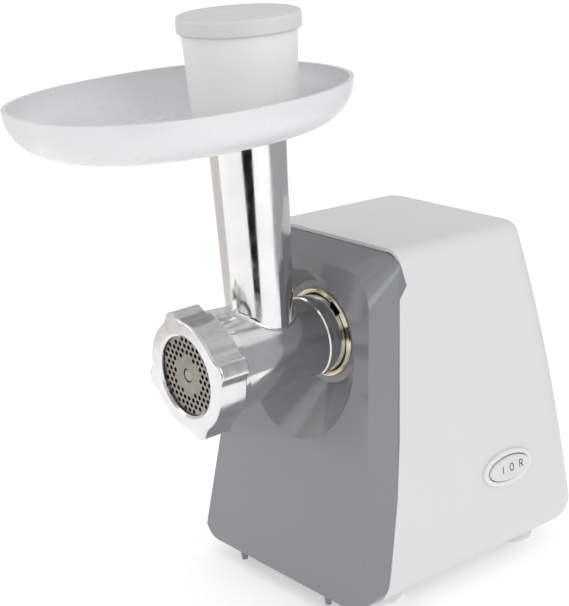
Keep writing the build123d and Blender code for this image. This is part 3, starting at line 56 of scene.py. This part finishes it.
class Shader:
    """A principled material with helpers for procedural detail in object space."""

    def __init__(self, name, color, roughness, metallic=0.0):
        self.material = bpy.data.materials.new(name)
        self.material.use_nodes = True
        self.tree = self.material.node_tree
        self.bsdf = self.tree.nodes["Principled BSDF"]
        self.color, self.roughness = color, roughness
        self.bsdf.inputs["Base Color"].default_value = (*color, 1)
        self.bsdf.inputs["Roughness"].default_value = roughness
        self.bsdf.inputs["Metallic"].default_value = metallic
        self.coords = self.tree.nodes.new("ShaderNodeTexCoord")
        self.normal = None

    def node(self, kind, **values):
        made = self.tree.nodes.new(kind)
        for key, value in values.items():
            if key in made.inputs:
                made.inputs[key].default_value = value
            else:
                setattr(made, key, value)
        return made

    def link(self, source, target):
        self.tree.links.new(source, target)

    def space(self, scale=(1, 1, 1), centre=(0, 0, 0)):
        """Object coordinates moved to centre, then stretched."""
        moved = self.node("ShaderNodeMapping", vector_type="POINT")
        moved.inputs["Location"].default_value = [-c * s for c, s in zip(centre, scale)]
        moved.inputs["Scale"].default_value = scale
        self.link(self.coords.outputs["Object"], moved.inputs["Vector"])
        return moved.outputs["Vector"]

    def noise(self, size, vector=None, detail=3.0, rough=0.55):
        """Noise with features about size metres across, from 0 to 1."""
        made = self.node("ShaderNodeTexNoise", Scale=1 / size, Detail=detail, Roughness=rough)
        self.link(vector or self.coords.outputs["Object"], made.inputs["Vector"])
        return made.outputs["Fac"]

    def remap(self, value, low, high, start=0.3, end=0.7):
        made = self.node("ShaderNodeMapRange")
        limits = {"From Min": start, "From Max": end, "To Min": low, "To Max": high}
        for key, number in limits.items():
            made.inputs[key].default_value = number
        self.link(value, made.inputs["Value"])
        return made.outputs["Result"]

    def vary_roughness(self, value, amount):
        self.link(
            self.remap(value, max(self.roughness - amount, 0.02), self.roughness + amount),
            self.bsdf.inputs["Roughness"],
        )

    def vary_color(self, value, other, start=0.35, end=0.65):
        made = self.node("ShaderNodeMix", data_type="RGBA")
        made.inputs[6].default_value = (*self.color, 1)
        made.inputs[7].default_value = (*other, 1)
        self.link(self.remap(value, 0, 1, start, end), made.inputs[0])
        self.link(made.outputs[2], self.bsdf.inputs["Base Color"])

    def bump(self, value, depth, strength=1.0):
        """Add a layer of relief depth metres deep."""
        made = self.node("ShaderNodeBump", Strength=strength, Distance=depth)
        self.link(value, made.inputs["Height"])
        if self.normal is not None:
            self.link(self.normal, made.inputs["Normal"])
        self.normal = made.outputs["Normal"]
        self.link(self.normal, self.bsdf.inputs["Normal"])


def plastic(name, color, roughness, grain=0.0006, relief=0.000004, coat=0.0, shift=0.015):
    """Moulded plastic: fine grain, slow flow marks and faint handling wear."""
    made = Shader(name, color, roughness)
    made.bsdf.inputs["IOR"].default_value = 1.5
    made.bsdf.inputs["Coat Weight"].default_value = coat
    made.bsdf.inputs["Coat Roughness"].default_value = 0.08
    slow = made.noise(0.045, detail=2.0)
    made.vary_color(slow, tuple(c * (1 - shift) for c in color))
    made.vary_roughness(made.noise(0.012, detail=5.0), 0.05)
    made.bump(made.noise(0.06, detail=1.0), 0.00003, 0.5)
    made.bump(made.noise(grain, detail=2.0), relief)
    return made.material


def rubber(name, color):
    made = Shader(name, color, 0.62)
    made.vary_color(made.noise(0.008, detail=4.0), tuple(c * 0.88 for c in color))
    made.vary_roughness(made.noise(0.003, detail=4.0), 0.1)
    made.bump(made.noise(0.0009, detail=3.0), 0.00003)
    return made.material


def polished(name, color, roughness, stretch=(1, 1, 0.02), wave=0.00004, fine=0.0000015):
    """Polished casting: slow unevenness of the hand polish and hairline scratches."""
    made = Shader(name, color, roughness, 1.0)
    made.vary_color(made.noise(0.02, detail=3.0), tuple(c * 0.93 for c in color))
    made.vary_roughness(made.noise(0.006, detail=6.0), roughness * 0.45)
    made.bump(made.noise(0.018, detail=1.5), wave, 0.6)
    made.bump(made.noise(0.0006, made.space(stretch), detail=3.0), fine)
    return made.material


def turned(name, color, roughness, centre, pitch=0.0006, relief=0.000006):
    """Lathe-turned metal: fine rings about an axis through centre."""
    made = Shader(name, color, roughness, 1.0)
    rings = made.node(
        "ShaderNodeTexWave", wave_type="RINGS", rings_direction="SPHERICAL", Scale=WAVE / pitch
    )
    rings.inputs["Distortion"].default_value = 0.6
    rings.inputs["Detail"].default_value = 3.0
    rings.inputs["Detail Scale"].default_value = 2.0
    made.link(made.space((1, 0.0, 1), centre), rings.inputs["Vector"])
    made.vary_color(made.noise(0.006, detail=5.0), tuple(c * 0.85 for c in color))
    made.vary_roughness(made.noise(0.004, detail=5.0), 0.08)
    made.bump(rings.outputs["Fac"], relief)
    made.bump(made.noise(0.0004, detail=2.0), 0.000003)
    return made.material


def machined(name, color, roughness=0.32, stretch=(1, 1, 1), metallic=1.0, size=0.0012, dark=0.8):
    made = Shader(name, color, roughness, metallic)
    made.vary_color(made.noise(0.007, detail=5.0), tuple(c * dark for c in color))
    made.vary_roughness(made.noise(0.003, detail=5.0), 0.1)
    made.bump(made.noise(size, made.space(stretch), detail=4.0), 0.000012)
    return made.material


def layered(name, color, other, pitch, direction, roughness=0.4, metallic=0.8, relief=0.00006):
    """Stacked sheets or wound wire: regular stripes along one direction."""
    made = Shader(name, color, roughness, metallic)
    bands = made.node(
        "ShaderNodeTexWave", wave_type="BANDS", bands_direction=direction, Scale=WAVE / pitch
    )
    bands.inputs["Distortion"].default_value = 0.4
    bands.inputs["Detail Scale"].default_value = 4.0
    made.link(made.coords.outputs["Object"], bands.inputs["Vector"])
    made.vary_color(bands.outputs["Fac"], other, 0.1, 0.9)
    made.vary_roughness(made.noise(0.003, detail=4.0), 0.1)
    made.bump(bands.outputs["Fac"], relief)
    return made.material


SPINDLE = (0, 0, AXIS_Z)
MOTOR = (0, 0, 0.057184)
white = (0.665, 0.665, 0.675)
laminations = ((0.30, 0.30, 0.31), (0.14, 0.14, 0.15), 0.0007, "Y")
copper_wire = ((0.62, 0.22, 0.08), (0.30, 0.09, 0.03), 0.0006)
finishes = {
    "front_fascia": plastic(
        "fascia_grey_gloss", (0.208, 0.211, 0.221), 0.15, relief=0.000002, coat=0.4
    ),
    "main_housing": plastic("housing_white_satin", white, 0.38, relief=0.000005),
    "base_plate": plastic("base_white_matt", (0.66, 0.66, 0.66), 0.55, relief=0.00001),
    # Painted light: the feet are set lighter than their own rubber to make up for the shade the
    # floor casts on them.
    "suction_feet": rubber("foot_pale_rubber", (0.82, 0.82, 0.82)),
    "switch_bezel": plastic(
        "bezel_white_gloss", (0.72, 0.72, 0.72), 0.2, relief=0.000002, coat=0.3
    ),
    "switch_rocker": plastic(
        "rocker_white_gloss", (0.66, 0.66, 0.67), 0.22, relief=0.000002, coat=0.3
    ),
    "switch_body": plastic("switch_black", (0.02, 0.02, 0.02), 0.5),
    "cord_inlet": rubber("grommet_pale_rubber", (0.60, 0.60, 0.60)),
    "barrel_socket": machined("socket_dark_zinc", (0.10, 0.10, 0.105), 0.38),
    "socket_trim_ring": turned("trim_pale_gold", (0.80, 0.74, 0.60), 0.16, SPINDLE, 0.0008),
    "output_shaft": machined("shaft_steel", (0.42, 0.42, 0.43)),
    "auger": polished("auger_cast_aluminium", (0.36, 0.34, 0.32), 0.3, wave=0.0001),
    "shaft_seal": rubber("seal_black_nitrile", (0.02, 0.02, 0.02)),
    "cutting_blade": machined("blade_ground_steel", (0.60, 0.60, 0.61), 0.22, (0.05, 1, 1)),
    "grinder_head": polished("head_polished_aluminium", (0.80, 0.795, 0.80), 0.13),
    "plate_key": machined("key_steel", (0.6, 0.6, 0.61)),
    "hole_plate": turned("plate_satin_steel", (0.33, 0.30, 0.27), 0.36, SPINDLE, 0.0005),
    "ring_nut": polished("nut_polished_aluminium", (0.78, 0.78, 0.785), 0.17, stretch=(1, 0.02, 1)),
    # Partly painted light: the tray is its own white plastic, set a little lighter to lift the
    # shade inside its bowl.
    "food_tray": plastic("tray_white_satin", (0.70, 0.695, 0.71), 0.3, relief=0.000004, coat=0.15),
    # Painted light: the pusher is set lighter than its own white plastic to make up for the shade
    # it sits in inside the tray.
    "pusher": plastic("pusher_white_satin", (0.80, 0.80, 0.80), 0.42, relief=0.000006),
    "pusher_cap": plastic("cap_white_satin", (0.64, 0.64, 0.64), 0.40, relief=0.000006),
    "release_button": plastic("button_dark_grey", (0.10, 0.10, 0.105), 0.3, coat=0.2),
    "gearbox_housing": plastic("gearbox_black_nylon", (0.03, 0.03, 0.032), 0.5, relief=0.00002),
    "gearbox_cover": plastic("cover_black_nylon", (0.03, 0.03, 0.032), 0.5, relief=0.00002),
    "output_gear": plastic("gear_acetal_large", (0.78, 0.76, 0.70), 0.35),
    "second_stage_wheel": plastic("gear_acetal_middle", (0.78, 0.76, 0.70), 0.35),
    "first_stage_wheel": plastic("gear_acetal_first", (0.78, 0.76, 0.70), 0.35),
    "second_stage_pinion": machined("pinion_sintered_steel", (0.40, 0.40, 0.41), 0.4),
    "first_stage_pinion": machined("pinion_sintered_small", (0.40, 0.40, 0.41), 0.4),
    "motor_pinion": machined("pinion_motor_steel", (0.48, 0.48, 0.49), 0.3),
    "gear_axles": machined("axle_ground_steel", (0.60, 0.60, 0.61), 0.18),
    "output_bushes": machined("bush_bronze", (0.62, 0.40, 0.18), 0.35),
    "thrust_washer": plastic("washer_acetal", (0.80, 0.79, 0.74), 0.4),
    "motor_stator": layered("stator_laminations", *laminations),
    "armature_core": layered("armature_laminations", *laminations),
    "field_coils": layered("coil_copper", *copper_wire, "Z", 0.3),
    "armature_winding": layered("winding_copper", *copper_wire, "X", 0.3),
    "commutator": layered(
        "commutator_copper", (0.72, 0.40, 0.24), (0.25, 0.14, 0.09), 0.002, "X", 0.3
    ),
    "rotor_shaft": machined("rotor_ground_steel", (0.60, 0.60, 0.61), 0.18),
    "cooling_fan": plastic("fan_black_nylon", (0.025, 0.025, 0.025), 0.45),
    "rotor_bearings": turned("bearing_steel", (0.58, 0.58, 0.59), 0.25, MOTOR),
    "motor_bracket": machined("bracket_die_cast", (0.50, 0.50, 0.51), 0.45, size=0.0007),
    "brush_holders": machined("holder_brass", (0.75, 0.55, 0.25), 0.3),
    "carbon_brushes": machined("brush_graphite", (0.03, 0.03, 0.03), 0.6, metallic=0.1),
    "lock_pin": machined("lock_pin_steel", (0.60, 0.60, 0.61), 0.2),
    "lock_pin_spring": machined("spring_steel", (0.58, 0.58, 0.58), 0.25),
}
zinc = machined("screw_zinc_plated", (0.55, 0.56, 0.58), 0.3)
for name, node in nodes.items():
    node.data.materials.clear()
    node.data.materials.append(finishes.get(name, zinc))


# ---- Mesh building blocks ----
def piece(name, mesh_data, material, body):
    """Make an object of a bmesh, smooth it, and let it ride on a body."""
    mesh = bpy.data.meshes.new(name)
    mesh_data.to_mesh(mesh)
    mesh_data.free()
    made = bpy.data.objects.new(name, mesh)
    bpy.context.scene.collection.objects.link(made)
    mesh.materials.append(material)
    mesh.shade_smooth()
    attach(made, body)
    return made


# ---- The rocker's printed marks ----
ROCKER_OUT = Vector((0.99251, 0, 0.12214))
ROCKER_ALONG = Vector((0, 1, 0))
ROCKER_UP = ROCKER_OUT.cross(ROCKER_ALONG)
rocker_mesh = nodes["switch_rocker"].data
rocker_surface = BVHTree.FromPolygons(
    [vertex.co for vertex in rocker_mesh.vertices],
    [tuple(face.vertices) for face in rocker_mesh.polygons],
)
INK_TOP, INK_ROOT = 0.00007, -0.0001  # the ink's top and foot, from the rocker's surface
rocker_low, rocker_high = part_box("switch_rocker")
rocker_middle = (rocker_low + rocker_high) / 2
ink = plastic("mark_dark_ink", (0.03, 0.03, 0.035), 0.45, relief=0.000002)


def on_rocker(along, rise, lift):
    """The rocker's surface at a place on its face, raised by lift."""
    above = rocker_middle + ROCKER_ALONG * along + ROCKER_UP * rise + ROCKER_OUT * 0.02
    hit = rocker_surface.ray_cast(above, -ROCKER_OUT)[0]
    return hit + ROCKER_OUT * lift


def stroke(mesh_data, path, width, closed=False):
    """A raised line of ink along a path of (along, rise) points on the rocker."""
    count = len(path)
    rings = []
    for index, (along, rise) in enumerate(path):
        before = path[index - 1] if index or closed else path[index]
        after = path[(index + 1) % count] if index < count - 1 or closed else path[index]
        run = Vector((after[0] - before[0], after[1] - before[1])).normalized() * width / 2
        places = [(run.y, INK_TOP), (-run.y, INK_TOP), (-run.y, INK_ROOT), (run.y, INK_ROOT)]
        sides = [-run.x, run.x, run.x, -run.x]
        spots = [on_rocker(along + a, rise + b, lift) for (a, lift), b in zip(places, sides)]
        rings.append([mesh_data.verts.new(spot) for spot in spots])
    pairs = list(zip(rings, rings[1:])) + ([(rings[-1], rings[0])] if closed else [])
    for one, two in pairs:
        for side in range(4):
            after = (side + 1) % 4
            mesh_data.faces.new([one[side], one[after], two[after], two[side]])
    if not closed:
        mesh_data.faces.new(rings[0][::-1])
        mesh_data.faces.new(rings[-1])


def straight(start, end, steps=6):
    return [tuple(a + (b - a) * i / steps for a, b in zip(start, end)) for i in range(steps + 1)]


def curved(middle, across, tall, start, end, steps=20):
    angles = [math.radians(start + (end - start) * i / steps) for i in range(steps + 1)]
    return [(middle[0] + across * math.cos(a), middle[1] + tall * math.sin(a)) for a in angles]


MARK_HALF = 0.0023  # half the height of a mark
INK_WIDTH = 0.0006
marks = {
    "on": [(straight((-0.0062, -MARK_HALF), (-0.0062, MARK_HALF)), False)],
    "off": [(curved((0.0012, 0), 0.0016, MARK_HALF, 0, 342, 19), True)],
    "reverse": [
        (straight((0.0082, -MARK_HALF), (0.0082, MARK_HALF)), False),
        (
            [(0.0082, MARK_HALF), (0.0090, MARK_HALF)]
            + curved((0.0096, 0.0011), 0.0012, 0.0012, 90, -90)
            + [(0.0090, -0.0001), (0.0082, -0.0001)],
            False,
        ),
        (straight((0.0093, -0.0001), (0.0111, -MARK_HALF)), False),
    ],
}
for mark, strokes in marks.items():
    print_mesh = bmesh.new()
    for path, closed in strokes:
        stroke(print_mesh, path, INK_WIDTH, closed)
    bmesh.ops.recalc_face_normals(print_mesh, faces=print_mesh.faces)
    piece(f"rocker_mark_{mark}", print_mesh, ink, "rocker")


# ---- Camera, floor and light ----
camera_data = bpy.data.cameras.new("view")
camera = bpy.data.objects.new("view", camera_data)
bpy.context.scene.collection.objects.link(camera)
bpy.context.scene.camera = camera
right = Vector((0.62947, 0.77459, -0.06153))
up = Vector((-0.20244, 0.23993, 0.94945))
away = Vector((-0.75019, 0.58519, -0.30784))
camera.matrix_world = Matrix(
    [
        [right.x, up.x, -away.x, 0.68353],
        [right.y, up.y, -away.y, -0.53574 + FASCIA_Y],
        [right.z, up.z, -away.z, 0.46245],
        [0, 0, 0, 1],
    ]
)
camera_data.lens = 91.0
camera_data.sensor_width = 36.0
camera_data.shift_x = -0.0165
camera_data.shift_y = -0.002
camera_data.clip_start, camera_data.clip_end = 0.01, 100


def flat_shade(name, color, roughness=0.9):
    made = bpy.data.materials.new(name)
    made.use_nodes = True
    shader = made.node_tree.nodes["Principled BSDF"]
    shader.inputs["Base Color"].default_value = (*color, 1)
    shader.inputs["Roughness"].default_value = roughness
    shader.inputs["Specular IOR Level"].default_value = 0.1
    return made


def panel(name, corners, material):
    """Flat four-cornered stage piece."""
    mesh = bpy.data.meshes.new(name)
    mesh.from_pydata(corners, [], [list(range(len(corners)))])
    made = bpy.data.objects.new(name, mesh)
    bpy.context.scene.collection.objects.link(made)
    mesh.materials.append(material)
    return made


floor_shade = flat_shade("floor_pale", (0.90, 0.90, 0.90))
floor_shader = floor_shade.node_tree.nodes["Principled BSDF"]
floor_shader.inputs["Emission Color"].default_value = (1, 1, 1, 1)
floor_shader.inputs["Emission Strength"].default_value = 0.25
FLOOR = 30
floor_corners = [(-FLOOR, -FLOOR, 0), (FLOOR, -FLOOR, 0), (FLOOR, FLOOR, 0), (-FLOOR, FLOOR, 0)]
panel("floor", floor_corners, floor_shade)

# Cards that only glossy surfaces see: they give the polished metal its dark and grey streaks.
def card_shade(name, glow):
    made = flat_shade(name, (0.0, 0.0, 0.0))
    shader = made.node_tree.nodes["Principled BSDF"]
    shader.inputs["Emission Color"].default_value = (*glow, 1)
    shader.inputs["Emission Strength"].default_value = 1.0
    return made


def card_corners(distance, turns, heights):
    """Corners of an upright card near the tube, between turns from the camera's direction."""
    middle = math.atan2(-away.y, -away.x)
    corners = []
    for (left, right_turn), height in zip(turns, heights):
        pair = [(left, height), (right_turn, height)]
        for turn, z in pair if len(corners) == 0 else reversed(pair):
            angle = middle + math.radians(turn)
            corners.append((distance * math.cos(angle), TUBE_Y + distance * math.sin(angle), z))
    return corners


cards = [
    ("dark_card", 0.5, [(-11, 8), (-23, 15)], [0.0, 0.26], (0.0, 0.0, 0.0)),
    ("grey_card_right", 0.6, [(62, 150), (62, 150)], [0.0, 0.45], (0.42, 0.42, 0.43)),
    ("warm_card_left", 0.6, [(-150, -95), (-150, -95)], [0.0, 0.45], (0.72, 0.69, 0.67)),
]
for name, distance, turns, heights, glow in cards:
    card = panel(name, card_corners(distance, turns, heights), card_shade(f"{name}_shade", glow))
    for ray in ("camera", "diffuse", "shadow", "transmission", "volume_scatter"):
        setattr(card, f"visible_{ray}", False)

world = bpy.data.worlds.new("studio")
bpy.context.scene.world = world
world.use_nodes = True
background = world.node_tree.nodes["Background"]
background.inputs["Strength"].default_value = 0.9
# Glossy surfaces see a soft, uneven studio; everything else sees plain white.
world_nodes, world_links = world.node_tree.nodes, world.node_tree.links
direction = world_nodes.new("ShaderNodeTexCoord")
clouds = world_nodes.new("ShaderNodeTexNoise")
clouds.inputs["Scale"].default_value = 1.3
clouds.inputs["Detail"].default_value = 1.0
soft = world_nodes.new("ShaderNodeMapRange")
for key, number in (("From Min", 0.36), ("From Max", 0.62), ("To Min", 0.35), ("To Max", 1.1)):
    soft.inputs[key].default_value = number
ray_kind = world_nodes.new("ShaderNodeLightPath")
tone = world_nodes.new("ShaderNodeMix")
tone.inputs[2].default_value = 1.0
world_links.new(direction.outputs["Generated"], clouds.inputs["Vector"])
world_links.new(clouds.outputs["Fac"], soft.inputs["Value"])
world_links.new(ray_kind.outputs["Is Glossy Ray"], tone.inputs[0])
world_links.new(soft.outputs["Result"], tone.inputs[3])
world_links.new(tone.outputs[0], background.inputs["Color"])


def area(name, place, target, size, power, color=(1, 1, 1)):
    data = bpy.data.lights.new(name, "AREA")
    data.shape, data.size, data.energy, data.color = "DISK", size, power, color
    made = bpy.data.objects.new(name, data)
    bpy.context.scene.collection.objects.link(made)
    made.location = place
    made.rotation_mode = "QUATERNION"
    made.rotation_quaternion = (Vector(target) - Vector(place)).to_track_quat("-Z", "Y")
    return made


area("key", (1.5, 0.1, 0.9), (0.05, 0.05, 0.12), 1.0, 4)
area("fill", (-1.1, -0.9, 0.75), (0.0, 0.0, 0.25), 1.2, 3)
bpy.context.scene.view_settings.view_transform = "Standard"
